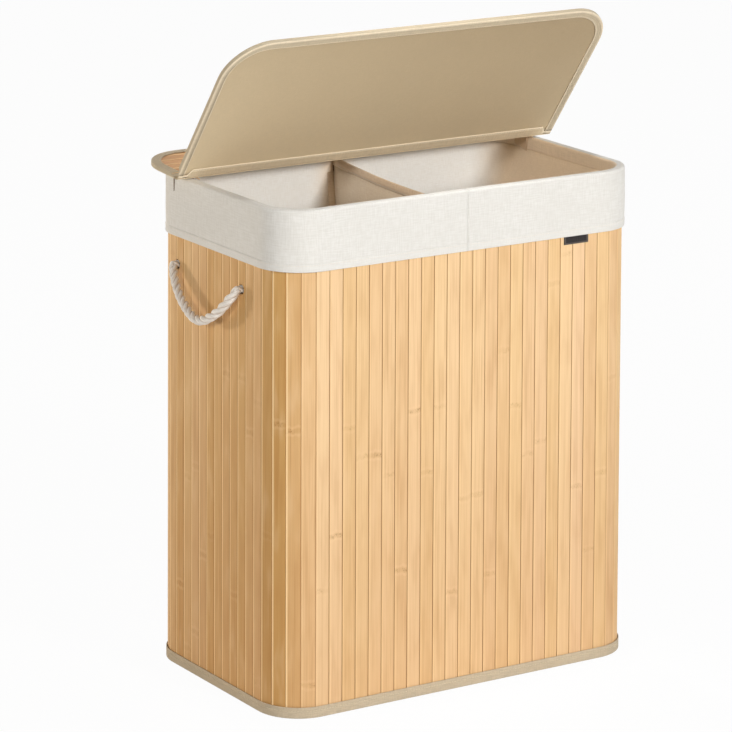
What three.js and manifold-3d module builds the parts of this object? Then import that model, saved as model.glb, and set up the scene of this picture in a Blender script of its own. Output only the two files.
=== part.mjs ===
// A laundry hamper with two bins. Its wall is a mat of upright bamboo slats on a cloth backing, and
// a cloth liner with a sewn divider hangs in it, with its cuff turned down over the rim. The lid is
// a slatted mat in two flaps that fold at a cloth tape, and a rope handle hangs on each side.
// Millimetres, +Z up, front towards -Y, origin at the middle of the underside.

import * as THREE from "three";
import { mergeVertices } from "three/addons/utils/BufferGeometryUtils.js";
import Module from "manifold-3d";

const wasm = await Module();
wasm.setup();

// Overall
const rimWidth = 515; // outer faces of the slatted wall at the rim
const rimDepth = 315;
const rimHeight = 630; // top of the cuff
const cornerRadius = 54;
const baseSpread = 10; // how much wider and deeper the wall is at the floor
const touch = 0.3; // gap between pieces that touch

// Slatted wall
const slatCount = 85; // round the whole wall, odd so that a slat's edge falls in the middle of the back
const slatThickness = 2.8;
const backingThickness = 1.2;
const grooveWidth = 1.2;

// Tapes sewn over the wall's lower and upper edges, and the wire in the upper one
const baseTapeThickness = 1.2;
const baseTapeHeight = 14;
const baseTapeLip = 6; // how far it reaches in under the wall
const rimTapeThickness = 0.8;
const rimTapeHeight = 18;
const rimWireRadius = 1.5;
const rimWireDrop = 6; // from the wall's upper edge down to the wire

// Bottom
const baseClothThickness = 1.2;
const baseBoardThickness = 4;

// Liner
const clothThickness = 1.2;
const cuffHeight = 75;
const cuffChamfer = 1.4;
const hemHeight = 10;
const hemThickness = 1.6;
const cuffInsideDepth = 18; // how far the cuff's cloth reaches down inside the rim
const linerInset = 12; // from the wall's outer face to the liner, low down
const linerKnotInset = 28; // the same at the sides, where the liner hangs over the rope's knots
const linerSlopeDrops = [30, 88, 142, 200]; // down from the rim: in, over the knots and back out
const linerSeamRoom = 0.6; // between the liner's walls and its floor

// Divider between the bins
const dividerThickness = 2;
const dividerFrontDrop = 19; // from the rim down to its upper edge, at the two ends
const dividerBackDrop = 12;
const dividerSag = 6; // how far that edge drops in the middle
const dividerHemHeight = 11;
const dividerHemThickness = 3.6;
const dividerSteps = 10;

// Bare woven tag under the cuff
const tagWidth = 36;
const tagHeight = 10;
const tagThickness = 0.9;
const tagMargin = 24.5; // from the tag to where the front begins to turn at the corner

// Rope handles
const ropeRadius = 5;
const handleBelowRim = 111; // down to the two holes
const handleFrontMargin = 43.5; // from a hole to where the side begins to turn at the corner
const handleBackMargin = 9.5;
const handleDrop = 52;
const handleReach = 11; // how far the loop's lowest point stands out beyond its ends
const holeRadius = 6.2;
const stubProud = 0.5;
const knotRadius = 11;
const knotGap = 0.7; // between the knot and the wall's inner face
const knotLength = 18;
const tailRadius = 4.4;
const tailLength = 26;
const ropeSides = 10;
const loopSteps = 24;

// Lid
const lidSideOverhang = 18.5; // beyond the wall's faces at the rim
const lidFrontOverhang = 9;
const lidBackOverhang = 12;
const lidCornerRadius = 57;
const foldPlace = 63.5; // the fold line's distance behind the middle
const foldClearance = 3.2; // from the top of the cuff up to the fold line
const frontFlapOpen = 52.8; // degrees above closed, as it stands
const rearFlapOpen = 3.5;
const lidClothThickness = 1;
const lidSlatThickness = 3;
const lidSlatGap = 0.9;
const frontSlatCount = 12;
const rearSlatCount = 5;
const frontClothStart = 4; // distances from the fold line
const frontTapeStart = 6;
const frontSlatStart = 15;
const rearClothStart = 3;
const rearTapeStart = 5;
const rearSlatStart = 12.5;
const edgeTapeWidth = 11.5;
const edgeTapeThickness = 0.8;
const foldRollRadius = 1; // the rolled cloth of the fold itself, on the fold line
const frontFoldTapeWidth = 15;
const rearFoldTapeWidth = 12;
const strapStart = 10; // from the fold line back to the strap
const strapWidth = 28;
const strapThickness = 1.2;
const strapLength = 19;
const tongueStart = 4; // how far the strap's tongue reaches in front of the fold line

// Counts and shares
const lidCornerSteps = 6;
const wireSides = 8;
const loopShares = [
  // out from the wall, from the middle towards a hole, and down
  [0, 1, 0],
  [0.36, 0.9, 0.21],
  [0.82, 0.54, 0.69],
  [1, 0, 1],
];
const knotShares = [
  // radius and length of the knot, from the wall inwards
  [0.76, 0],
  [0.95, 0.2],
  [1, 0.5],
  [0.88, 0.78],
  [0.5, 0.97],
];

// Places that follow from the sizes
const wallThickness = slatThickness + backingThickness;
const wallFoot = baseTapeThickness + touch;
const wallTop = rimHeight - clothThickness - rimTapeThickness - 2 * touch;
const straightWidth = rimWidth - 2 * cornerRadius;
const straightDepth = rimDepth - 2 * cornerRadius;
const cornerLength = (Math.PI / 2) * cornerRadius;
const outlineLength = 2 * (straightWidth + straightDepth) + 4 * cornerLength;
const slatPitch = outlineLength / slatCount;
const rimTapeInside = wallThickness + 2 * touch + 2 * rimWireRadius + rimTapeThickness;
const cuffOutside = touch + rimTapeThickness + touch + clothThickness;
const cuffInside = rimTapeInside + touch + clothThickness;
const boardFoot = baseClothThickness + touch;
const linerFoot = boardFoot + baseBoardThickness + touch;
const seamHalfGap = touch / 2;
const lidFlapThickness = lidClothThickness + touch + lidSlatThickness;
const foldHeight = rimHeight + foldClearance;
const lidWidth = rimWidth + 2 * lidSideOverhang;
const frontFlapLength = rimDepth / 2 + lidFrontOverhang + foldPlace;
const rearFlapLength = rimDepth / 2 + lidBackOverhang - foldPlace;

// Materials, in the colours of the photograph
function material(colour, roughness) {
  return new THREE.MeshStandardMaterial({ color: colour, roughness, metalness: 0 });
}
const bamboo = material("#e6c391", 0.55);
const linen = material("#eae6df", 0.95);
const cotton = material("#e9e3d6", 0.9);
const khaki = material("#b5a382", 0.9);
const taupe = material("#c0ae90", 0.9);
const board = material("#b08a5e", 0.8);
const rope = material("#ddd5c8", 0.95);
const black = material("#23232a", 0.8);
const wire = new THREE.MeshStandardMaterial({ color: "#9a9a9a", roughness: 0.4, metalness: 1 });

const hamper = new THREE.Group();

function addPiece(parent, name, geometry, look) {
  const mesh = new THREE.Mesh(geometry, look.clone());
  mesh.name = name;
  parent.add(mesh);
  return mesh;
}

// Solid shapes

function solidOf(geometry) {
  const bare = geometry.clone();
  bare.deleteAttribute("normal");
  bare.deleteAttribute("uv");
  const merged = mergeVertices(bare);
  return new wasm.Manifold(
    new wasm.Mesh({
      numProp: 3,
      vertProperties: merged.attributes.position.array,
      triVerts: new Uint32Array(merged.index.array),
    }),
  );
}

function geometryOf(solid) {
  const mesh = solid.getMesh();
  const geometry = new THREE.BufferGeometry();
  geometry.setAttribute("position", new THREE.BufferAttribute(mesh.vertProperties, mesh.numProp));
  geometry.setIndex(new THREE.BufferAttribute(mesh.triVerts, 1));
  return geometry;
}

// Turns the faces of a closed geometry outwards if they point in.
function facingOut(position, index) {
  const corner = [0, 1, 2].map(() => new THREE.Vector3());
  let volume = 0;
  for (let i = 0; i < index.length; i += 3) {
    corner.forEach((c, k) => c.fromArray(position, 3 * index[i + k]));
    volume += corner[0].dot(corner[1].clone().cross(corner[2]));
  }
  const turned = volume < 0 ? index.slice().reverse() : index;
  const geometry = new THREE.BufferGeometry();
  geometry.setAttribute("position", new THREE.Float32BufferAttribute(position, 3));
  geometry.setIndex(turned);
  return geometry;
}

// Carries a closed profile of [offset, height] pairs along stations { x, y, nx, ny }, where the
// offset runs along the station's outward normal. An open run gets a cap at each end.
function sweep(stations, profileAt, closed) {
  const rings = stations.map((s) =>
    profileAt(s).map(([offset, height]) => [s.x + s.nx * offset, s.y + s.ny * offset, height]),
  );
  const sides = rings[0].length;
  const index = [];
  const runs = closed ? rings.length : rings.length - 1;
  for (let i = 0; i < runs; i++) {
    const here = i * sides;
    const there = ((i + 1) % rings.length) * sides;
    for (let j = 0; j < sides; j++) {
      const next = (j + 1) % sides;
      index.push(here + j, there + j, here + next);
      index.push(here + next, there + j, there + next);
    }
  }
  if (!closed) {
    const end = (rings.length - 1) * sides;
    const firstCap = capFaces(profileAt(stations[0]));
    const lastCap = capFaces(profileAt(stations[stations.length - 1]));
    firstCap.forEach(([a, b, c]) => index.push(a, b, c));
    lastCap.forEach(([a, b, c]) => index.push(end + c, end + b, end + a));
  }
  return facingOut(rings.flat(2), index);
}

// Triangles that fill a profile, wound the way the profile runs.
function capFaces(profile) {
  const points = profile.map(([offset, height]) => new THREE.Vector2(offset, height));
  const faces = THREE.ShapeUtils.triangulateShape(points, []);
  const [a, b, c] = faces[0].map((i) => points[i]);
  const faceTurn = b.clone().sub(a).cross(c.clone().sub(a));
  const sameWay = faceTurn > 0 === THREE.ShapeUtils.area(points) > 0;
  return sameWay ? faces : faces.map((f) => f.slice().reverse());
}

function plate(points, thickness, foot) {
  const shape = new THREE.Shape(points.map(([x, y]) => new THREE.Vector2(x, y)));
  const geometry = new THREE.ExtrudeGeometry(shape, { depth: thickness, bevelEnabled: false });
  return geometry.translate(0, 0, foot);
}

function block(low, high) {
  const size = high.map((h, i) => h - low[i]);
  const middle = high.map((h, i) => (h + low[i]) / 2);
  return new THREE.BoxGeometry(...size).translate(...middle);
}

// How much wider and deeper the wall is at a height than at the rim, as two factors.
function spreadAt(height) {
  const share = 1 - height / rimHeight;
  return [1 + (baseSpread / rimWidth) * share, 1 + (baseSpread / rimDepth) * share];
}

// Spreads a piece of the upright body towards the floor.
function spread(geometry) {
  const place = geometry.attributes.position;
  for (let i = 0; i < place.count; i++) {
    const [wider, deeper] = spreadAt(place.getZ(i));
    place.setXY(i, place.getX(i) * wider, place.getY(i) * deeper);
  }
  return geometry;
}

function addSpread(name, geometry, look) {
  return addPiece(hamper, name, spread(geometry), look);
}

// The wall's outline

// The point of the wall's outer face at a distance along it from the middle of the front, towards
// +X first, with the outward normal there.
function wallPoint(distance) {
  const quarter = outlineLength / 4;
  const along = ((distance % outlineLength) + outlineLength) % outlineLength;
  const turn = Math.floor(along / quarter) % 4;
  const mirrored = turn % 2 === 1;
  const t = mirrored ? quarter - (along - turn * quarter) : along - turn * quarter;
  const signX = turn < 2 ? 1 : -1;
  const signY = turn === 0 || turn === 3 ? -1 : 1;
  const arc = t - straightWidth / 2;
  if (arc <= 0) return { x: signX * t, y: (signY * rimDepth) / 2, nx: 0, ny: signY };
  if (arc >= cornerLength) {
    const y = straightDepth / 2 - (arc - cornerLength);
    return { x: (signX * rimWidth) / 2, y: signY * y, nx: signX, ny: 0 };
  }
  const angle = arc / cornerRadius;
  const nx = signX * Math.sin(angle);
  const ny = signY * Math.cos(angle);
  const x = (signX * straightWidth) / 2 + cornerRadius * nx;
  const y = (signY * straightDepth) / 2 + cornerRadius * ny;
  return { x, y, nx, ny };
}

function shifted(point, offset) {
  return [point.x + point.nx * offset, point.y + point.ny * offset];
}

// Slat number i has edges i and i + 1, and slat 0 stands in the middle of the front.
function slatEdgeDistance(i) {
  return (i - 1 / 2) * slatPitch;
}

// Whether the outline turns between the slats on the two sides of an edge.
function turnsAt(i) {
  const before = wallPoint(slatEdgeDistance(i - 1));
  const after = wallPoint(slatEdgeDistance(i + 1));
  return before.nx * after.nx + before.ny * after.ny < 1 - 1e-6;
}

const turningEdges = Array.from({ length: slatCount }, (_, i) => i).filter(turnsAt);
const ringStations = turningEdges.map((i) => wallPoint(slatEdgeDistance(i)));

// The point at a distance along the outline that the flat slats make, with the normal there.
function slatPoint(distance) {
  const i = Math.floor(distance / slatPitch + 1 / 2);
  const share = distance / slatPitch + 1 / 2 - i;
  const [a, b] = [wallPoint(slatEdgeDistance(i)), wallPoint(slatEdgeDistance(i + 1))];
  const between = (key) => a[key] + (b[key] - a[key]) * share;
  return { x: between("x"), y: between("y"), nx: between("nx"), ny: between("ny") };
}

// Stations between two distances along the outline, with each turning edge between them.
function stationsBetween(from, to) {
  const inner = [];
  for (let i = -slatCount; i <= 2 * slatCount; i++) {
    const distance = slatEdgeDistance(i);
    if (distance > from && distance < to && turnsAt(i)) inner.push(distance);
  }
  return [slatPoint(from), ...inner.map(wallPoint), slatPoint(to)];
}

// Half of the outline, from the front's middle to the back's, on the side of +X or -X.
function halfStations(side, gap) {
  const half = outlineLength / 2;
  return side > 0 ? stationsBetween(gap, half - gap) : stationsBetween(half + gap, 2 * half - gap);
}

// Slatted wall

// A stretch of the mat from one slat to another: flat slats on their backing, with an open joint
// between each two.
function slatMat(first, last) {
  const outer = [];
  const inner = [];
  const edge = (i) => wallPoint(slatEdgeDistance(i));
  for (let i = first; i <= last; i++) {
    const [a, b] = [edge(i), edge(i + 1)];
    const share = grooveWidth / 2 / Math.hypot(b.x - a.x, b.y - a.y);
    outer.push([a.x + (b.x - a.x) * share, a.y + (b.y - a.y) * share]);
    outer.push([b.x + (a.x - b.x) * share, b.y + (a.y - b.y) * share]);
    if (i < last) outer.push(shifted(b, -slatThickness));
    if (i < last && turnsAt(i + 1)) inner.unshift(shifted(b, -wallThickness));
  }
  const start = wallPoint(slatEdgeDistance(first) + seamHalfGap);
  const end = wallPoint(slatEdgeDistance(last + 1) - seamHalfGap);
  const outline = [
    shifted(start, -slatThickness),
    ...outer,
    shifted(end, -slatThickness),
    shifted(end, -wallThickness),
    ...inner,
    shifted(start, -wallThickness),
  ];
  return plate(outline, wallTop - wallFoot, wallFoot);
}

// The two rope holes through a side, as cylinders along X.
function ropeHoles(side) {
  const depth = 2 * (wallThickness + baseSpread);
  return [handleFront, handleBack].map((place) => {
    const hole = new THREE.CylinderGeometry(holeRadius, holeRadius, depth, 2 * ropeSides);
    hole.rotateZ(Math.PI / 2);
    return hole.translate((side * rimWidth) / 2, place, handleHeight);
  });
}

function addWall() {
  const quarterSlats = slatCount / 4;
  const cornerSlats = Math.floor(cornerLength / slatPitch);
  const frontEnd = Math.ceil(straightWidth / 2 / slatPitch - 1 / 2) - 1;
  const cornerEnd = frontEnd + cornerSlats + 1;
  const backEnd = (slatCount - 1) / 2;
  const sideEnd = cornerEnd + Math.floor(2 * (quarterSlats - cornerEnd));
  const backStart = backEnd - frontEnd;
  const stretches = {
    right_front_corner: [frontEnd + 1, cornerEnd],
    right: [cornerEnd + 1, sideEnd],
    right_back_corner: [sideEnd + 1, backStart - 1],
    right_back: [backStart, backEnd],
  };
  addSpread("slat_mat_front", slatMat(-frontEnd, frontEnd), bamboo);
  for (const [place, [first, last]] of Object.entries(stretches)) {
    const leftPlace = place.replace("right", "left");
    addSpread(`slat_mat_${place}`, wallStretch(first, last, 1, place === "right"), bamboo);
    addSpread(`slat_mat_${leftPlace}`, wallStretch(-last, -first, -1, place === "right"), bamboo);
  }
}

function wallStretch(first, last, side, holed) {
  const mat = slatMat(first, last);
  if (!holed) return mat;
  const cut = ropeHoles(side).reduce((left, hole) => left.subtract(solidOf(hole)), solidOf(mat));
  return geometryOf(cut);
}

// Bottom and the tapes round the wall's edges

function addBase() {
  const lipInside = baseTapeLip;
  const baseTapeProfile = [
    [-lipInside, 0],
    [touch + baseTapeThickness, 0],
    [touch + baseTapeThickness, baseTapeHeight],
    [touch, baseTapeHeight],
    [touch, baseTapeThickness],
    [-lipInside, baseTapeThickness],
  ];
  addSpread("base_tape", sweep(ringStations, () => baseTapeProfile, true), taupe);
  const clothEdge = ringStations.map((s) => shifted(s, -lipInside - touch));
  addSpread("base_cloth", plate(clothEdge, baseClothThickness, 0), khaki);
  const boardEdge = ringStations.map((s) => shifted(s, -wallThickness - touch));
  addSpread("base_board", plate(boardEdge, baseBoardThickness, boardFoot), board);
}

function addRim() {
  const top = wallTop + touch + rimTapeThickness;
  const foot = top - rimTapeHeight;
  const rimTapeProfile = [
    [touch, foot],
    [touch + rimTapeThickness, foot],
    [touch + rimTapeThickness, top],
    [-rimTapeInside, top],
    [-rimTapeInside, foot],
    [-rimTapeInside + rimTapeThickness, foot],
    [-rimTapeInside + rimTapeThickness, wallTop + touch],
    [touch, wallTop + touch],
  ];
  addSpread("rim_tape", sweep(ringStations, () => rimTapeProfile, true), khaki);
  const wireProfile = Array.from({ length: wireSides }, (_, i) => {
    const angle = (2 * Math.PI * i) / wireSides;
    const across = -(wallThickness + touch + rimWireRadius);
    return [
      across + rimWireRadius * Math.cos(angle),
      wallTop - rimWireDrop + rimWireRadius * Math.sin(angle),
    ];
  });
  addSpread("rim_wire", sweep(ringStations, () => wireProfile, true), wire);
}

// Liner, cuff and divider

// The liner's wall, which bulges inwards over the knots at the sides only.
function linerWallProfile({ nx, ny }) {
  const high = cuffInside - clothThickness;
  const bulge = linerKnotInset * nx * nx + linerInset * ny * ny;
  const [a, b, c, d] = linerSlopeDrops.map((drop) => rimHeight - drop);
  const outer = [
    [-high, rimHeight - cuffInsideDepth - touch],
    [-high, a],
    [-bulge, b],
    [-bulge, c],
    [-linerInset, d],
    [-linerInset, linerFoot + clothThickness + linerSeamRoom],
  ];
  const inner = outer.map(([offset, height]) => [offset - clothThickness, height]).reverse();
  return [...outer, ...inner];
}

const cuffFoot = rimHeight - cuffHeight;

function cuffProfile() {
  const foot = cuffFoot + hemHeight + touch;
  const outside = cuffOutside;
  const inside = -cuffInside;
  return [
    [outside - clothThickness, foot],
    [outside, foot],
    [outside, rimHeight - cuffChamfer],
    [outside - cuffChamfer, rimHeight],
    [inside + cuffChamfer, rimHeight],
    [inside, rimHeight - cuffChamfer],
    [inside, rimHeight - cuffInsideDepth],
    [inside + clothThickness, rimHeight - cuffInsideDepth],
    [inside + clothThickness, rimHeight - clothThickness],
    [outside - clothThickness, rimHeight - clothThickness],
  ];
}

function hemProfile() {
  const outside = cuffOutside - clothThickness + hemThickness;
  return [
    [outside - hemThickness, cuffFoot],
    [outside, cuffFoot],
    [outside, cuffFoot + hemHeight],
    [outside - hemThickness, cuffFoot + hemHeight],
  ];
}

function addLiner() {
  const wallGap = dividerThickness / 2 + touch;
  for (const [name, side] of Object.entries({ left: -1, right: 1 })) {
    const halves = halfStations(side, seamHalfGap);
    addSpread(`cuff_${name}`, sweep(halves, cuffProfile, false), linen);
    addSpread(`cuff_hem_${name}`, sweep(halves, hemProfile, false), linen);
    const inner = halfStations(side, wallGap);
    addSpread(`liner_wall_${name}`, sweep(inner, linerWallProfile, false), cotton);
    const floorEdge = inner.map((s) => shifted(s, -linerInset));
    addSpread(`liner_floor_${name}`, plate(floorEdge, clothThickness, linerFoot), cotton);
  }
}

// The height of the divider's sagging upper edge, at a share from -1 in front to 1 at the back.
function dividerEdge(share) {
  const middle = (dividerBackDrop + dividerFrontDrop) / 2;
  const tilt = (dividerFrontDrop - dividerBackDrop) / 2;
  return rimHeight - middle + share * tilt - dividerSag * (1 - share * share);
}

// A panel that stands across the middle, between two outline curves over its length.
function standingPanel(halfLength, upperAt, lower, thickness) {
  const shares = Array.from({ length: dividerSteps + 1 }, (_, i) => (2 * i) / dividerSteps - 1);
  const upper = shares.map((share) => [share * halfLength, upperAt(share)]);
  const outline = [...upper, ...lower.reverse()];
  const geometry = plate(outline, thickness, -thickness / 2);
  return geometry.rotateX(Math.PI / 2).rotateZ(Math.PI / 2);
}

function addDivider() {
  const panelHalf = rimDepth / 2 - linerInset;
  const panelTop = (share) => dividerEdge(share) - dividerHemHeight - touch;
  const panelFoot = [
    [-panelHalf, linerFoot],
    [panelHalf, linerFoot],
  ];
  const panel = standingPanel(panelHalf, panelTop, panelFoot, dividerThickness);
  addSpread("divider", panel, cotton);
  const hemHalf = rimDepth / 2 - cuffInside - touch;
  const hemFoot = Array.from({ length: dividerSteps + 1 }, (_, i) => {
    const share = (2 * i) / dividerSteps - 1;
    return [share * hemHalf, dividerEdge(share) - dividerHemHeight];
  });
  const hem = standingPanel(hemHalf, dividerEdge, hemFoot, dividerHemThickness);
  addSpread("divider_hem", hem, cotton);
}

function addTag() {
  const face = -rimDepth / 2 - touch;
  const top = cuffFoot - touch;
  const end = straightWidth / 2 - tagMargin;
  const low = [end - tagWidth, face - tagThickness, top - tagHeight];
  const high = [end, face, top];
  addSpread("side_tag", block(low, high), black);
}

// Rope handles

const handleHeight = rimHeight - handleBelowRim;
const handleFront = handleFrontMargin - straightDepth / 2;
const handleBack = straightDepth / 2 - handleBackMargin;
const wallFaceAtHandle = (rimWidth / 2) * spreadAt(handleHeight)[0];
const wallInsideAtHandle = (rimWidth / 2 - wallThickness) * spreadAt(handleHeight)[0];
const handleAxisOut = wallFaceAtHandle + stubProud + touch + ropeRadius;

// The stretch of rope in a hole, with the knot and the tail that hold it inside the wall.
function ropeEnd(side, place) {
  const knotStart = wallInsideAtHandle - knotGap;
  const outline = [
    [0, wallFaceAtHandle + stubProud],
    [ropeRadius, wallFaceAtHandle + stubProud],
    [ropeRadius, knotStart],
    ...knotShares.map(([wide, deep]) => [wide * knotRadius, knotStart - deep * knotLength]),
    [0, knotStart - knotLength],
  ];
  const points = outline.map(([radius, out]) => new THREE.Vector2(radius, out)).reverse();
  const knot = new THREE.LatheGeometry(points, 2 * ropeSides).rotateZ((-side * Math.PI) / 2);
  const tail = new THREE.CylinderGeometry(tailRadius, tailRadius, tailLength, ropeSides);
  tail.rotateX(Math.PI / 2);
  tail.translate(side * (knotStart - knotLength / 2), 0, -tailLength / 2);
  const joined = geometryOf(solidOf(knot).add(solidOf(tail)));
  return joined.translate(0, place, handleHeight);
}

// The free loop between the two holes, round-ended where it meets the rope in the holes.
function ropeLoop(side) {
  const half = loopShares.map(([out, along, down]) => {
    const place = new THREE.Vector3(side * (handleAxisOut + out * handleReach), 0, 0);
    place.y = (along * (handleBack - handleFront)) / 2;
    place.z = handleHeight - down * handleDrop;
    return place;
  });
  const otherHalf = half.slice(0, -1).reverse();
  const back = otherHalf.map((p) => new THREE.Vector3(p.x, -p.y, p.z));
  const route = [...half, ...back].map((p) => p.setY(p.y + (handleFront + handleBack) / 2));
  const section = new THREE.Shape().absarc(0, 0, ropeRadius, 0, 2 * Math.PI);
  const tube = new THREE.ExtrudeGeometry(section, {
    steps: loopSteps,
    curveSegments: ropeSides,
    extrudePath: new THREE.CatmullRomCurve3(route),
    bevelEnabled: false,
  });
  const ends = [route[0], route[route.length - 1]].map((p) =>
    new THREE.SphereGeometry(ropeRadius, ropeSides, ropeSides / 2).translate(p.x, p.y, p.z),
  );
  return geometryOf(ends.reduce((left, ball) => left.add(solidOf(ball)), solidOf(tube)));
}

function addHandles() {
  for (const [name, side] of Object.entries({ left: -1, right: 1 })) {
    addPiece(hamper, `handle_loop_${name}`, ropeLoop(side), rope);
    addPiece(hamper, `handle_knot_${name}_front`, ropeEnd(side, handleFront), rope);
    addPiece(hamper, `handle_knot_${name}_back`, ropeEnd(side, handleBack), rope);
  }
}

// Lid. Each flap is built lying flat, from the fold line towards +Y, with its cloth underneath.

// Stations round the free edge of a flap's mat, from one end of the fold line to the other.
function flapEdge(length, starts) {
  const half = lidWidth / 2 - edgeTapeThickness;
  const end = length - edgeTapeThickness;
  const side = starts.map((y) => ({ x: half, y, nx: 1, ny: 0 }));
  const corner = Array.from({ length: lidCornerSteps + 1 }, (_, i) => {
    const angle = (i / lidCornerSteps) * (Math.PI / 2);
    const [nx, ny] = [Math.cos(angle), Math.sin(angle)];
    const x = half - lidCornerRadius + lidCornerRadius * nx;
    const y = end - lidCornerRadius + lidCornerRadius * ny;
    return { x, y, nx, ny };
  });
  const right = [...side, ...corner];
  const left = right.map((s) => ({ ...s, x: -s.x, nx: -s.nx })).reverse();
  return [...right, ...left];
}

// The tape folded over the flap's edge. It is thin beside the fold line, where there are no slats.
function edgeTape(length, start, slatStart) {
  const thickStart = slatStart - touch;
  const thinEnd = thickStart - edgeTapeThickness;
  const profileAt = ({ y }) => {
    const held = y < thickStart ? lidClothThickness : lidFlapThickness;
    const [low, high] = [-touch, held + touch];
    const inner = -edgeTapeWidth;
    return [
      [inner, low - edgeTapeThickness],
      [edgeTapeThickness, low - edgeTapeThickness],
      [edgeTapeThickness, high + edgeTapeThickness],
      [inner, high + edgeTapeThickness],
      [inner, high],
      [0, high],
      [0, low],
      [inner, low],
    ];
  };
  return sweep(flapEdge(length, [start, thinEnd, thickStart]), profileAt, false);
}

// The flat tape under a flap along the fold line, full width where no edge tape is. The rear one
// carries the roll about which the front flap turns.
function foldTapeOf(shoulder, width, rolled) {
  const wide = lidWidth / 2 - edgeTapeThickness;
  const narrow = wide - edgeTapeWidth - touch;
  const start = rolled ? 0 : foldRollRadius + touch;
  const right = [
    [wide, start],
    [wide, shoulder - touch],
    [narrow, shoulder - touch],
    [narrow, width],
  ];
  const left = right.map(([x, y]) => [-x, y]).reverse();
  const tape = plate([...right, ...left], edgeTapeThickness, -touch - edgeTapeThickness);
  if (!rolled) return tape;
  const roll = new THREE.CylinderGeometry(foldRollRadius, foldRollRadius, 2 * wide, wireSides);
  return geometryOf(solidOf(tape).add(solidOf(roll.rotateZ(Math.PI / 2))));
}

function addFlap(parent, name, sizes) {
  const { length, clothStart, tapeStart, slatStart, slats, foldTapeWidth } = sizes;
  const cloth = flapEdge(length, [clothStart]).map((s) => shifted(s, -touch));
  const clothLook = name === "front" ? khaki : taupe;
  addPiece(parent, `lid_cloth_${name}`, plate(cloth, lidClothThickness, 0), clothLook);
  addPiece(parent, `lid_edge_tape_${name}`, edgeTape(length, tapeStart, slatStart), taupe);
  const rolled = name === "rear";
  const foldTape = foldTapeOf(tapeStart, foldTapeWidth, rolled);
  addPiece(parent, `lid_fold_tape_${name}`, foldTape, taupe);
  const slatFoot = lidClothThickness + touch;
  const matEdge = flapEdge(length, [slatStart]).map((s) => shifted(s, -touch));
  const mat = solidOf(plate(matEdge, lidSlatThickness, slatFoot));
  const matEnd = length - edgeTapeThickness - touch;
  const pitch = (matEnd + lidSlatGap - slatStart) / slats;
  for (let i = 0; i < slats; i++) {
    const near = slatStart + i * pitch;
    const strip = block(
      [-lidWidth, near, 0],
      [lidWidth, near + pitch - lidSlatGap, slatFoot + 2 * lidSlatThickness],
    );
    const number = String(i + 1).padStart(2, "0");
    const slat = geometryOf(mat.intersect(solidOf(strip)));
    addPiece(parent, `lid_slat_${name}_${number}`, slat, bamboo);
  }
}

function addLid() {
  const degrees = Math.PI / 180;
  const front = new THREE.Group();
  front.position.set(0, foldPlace, foldHeight);
  front.rotation.x = -frontFlapOpen * degrees;
  const frontTurned = new THREE.Group();
  frontTurned.rotation.z = Math.PI;
  front.add(frontTurned);
  addFlap(frontTurned, "front", {
    length: frontFlapLength,
    clothStart: frontClothStart,
    tapeStart: frontTapeStart,
    slatStart: frontSlatStart,
    slats: frontSlatCount,
    foldTapeWidth: frontFoldTapeWidth,
  });
  const rear = new THREE.Group();
  rear.position.set(0, foldPlace, foldHeight);
  rear.rotation.x = rearFlapOpen * degrees;
  addFlap(rear, "rear", {
    length: rearFlapLength,
    clothStart: rearClothStart,
    tapeStart: rearTapeStart,
    slatStart: rearSlatStart,
    slats: rearSlatCount,
    foldTapeWidth: rearFoldTapeWidth,
  });
  hamper.add(front, rear);
}

// The two straps that hold the lid, sewn inside the rim behind the fold line. A low tongue runs
// forward from each strap's top to under the fold.
function addStraps() {
  const top = foldHeight - foldRollRadius - touch;
  const out = -cuffInside - touch;
  const foldDistance = outlineLength / 4 + foldPlace;
  const strapFrom = foldDistance + strapStart;
  const tongue = stationsBetween(foldDistance - tongueStart, strapFrom - touch);
  const strap = stationsBetween(strapFrom, strapFrom + strapWidth);
  const right = [
    ...tongue.map((s) => ({ ...s, foot: rimHeight + touch })),
    ...strap.map((s) => ({ ...s, foot: rimHeight - strapLength })),
  ];
  const left = right.map((s) => ({ ...s, x: -s.x, nx: -s.nx }));
  const strapProfile = ({ foot }) => [
    [out - strapThickness, foot],
    [out, foot],
    [out, top],
    [out - strapThickness, top],
  ];
  addSpread("lid_strap_right", sweep(right, strapProfile, false), khaki);
  addSpread("lid_strap_left", sweep(left, strapProfile, false), khaki);
}

addBase();
addWall();
addRim();
addLiner();
addDivider();
addTag();
addHandles();
addStraps();
addLid();

export default hamper;
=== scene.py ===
"""Looks of the laundry hamper with two bins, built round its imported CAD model.

Shapes are worked out in millimetres, from the same named sizes as the CAD source, and become metres
when a mesh is made. Random choices come from seeded generators.
"""

import math
import random

import bpy
import numpy as np
from mathutils import Matrix, Vector, noise


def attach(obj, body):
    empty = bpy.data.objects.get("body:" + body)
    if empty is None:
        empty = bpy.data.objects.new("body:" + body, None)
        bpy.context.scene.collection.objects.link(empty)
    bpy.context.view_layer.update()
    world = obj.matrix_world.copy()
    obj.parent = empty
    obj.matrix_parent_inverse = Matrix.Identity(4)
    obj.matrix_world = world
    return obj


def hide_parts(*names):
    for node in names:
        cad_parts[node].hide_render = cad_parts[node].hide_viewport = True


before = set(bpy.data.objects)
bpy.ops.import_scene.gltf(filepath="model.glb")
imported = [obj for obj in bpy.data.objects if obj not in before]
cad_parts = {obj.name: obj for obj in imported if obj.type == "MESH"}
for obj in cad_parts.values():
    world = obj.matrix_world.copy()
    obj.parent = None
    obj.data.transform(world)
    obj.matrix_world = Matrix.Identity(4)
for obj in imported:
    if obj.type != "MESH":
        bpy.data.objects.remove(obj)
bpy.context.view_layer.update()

# Sizes of the CAD source, in millimetres
RIM_WIDTH, RIM_DEPTH, RIM_HEIGHT = 515, 315, 630
CORNER = 54
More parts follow.
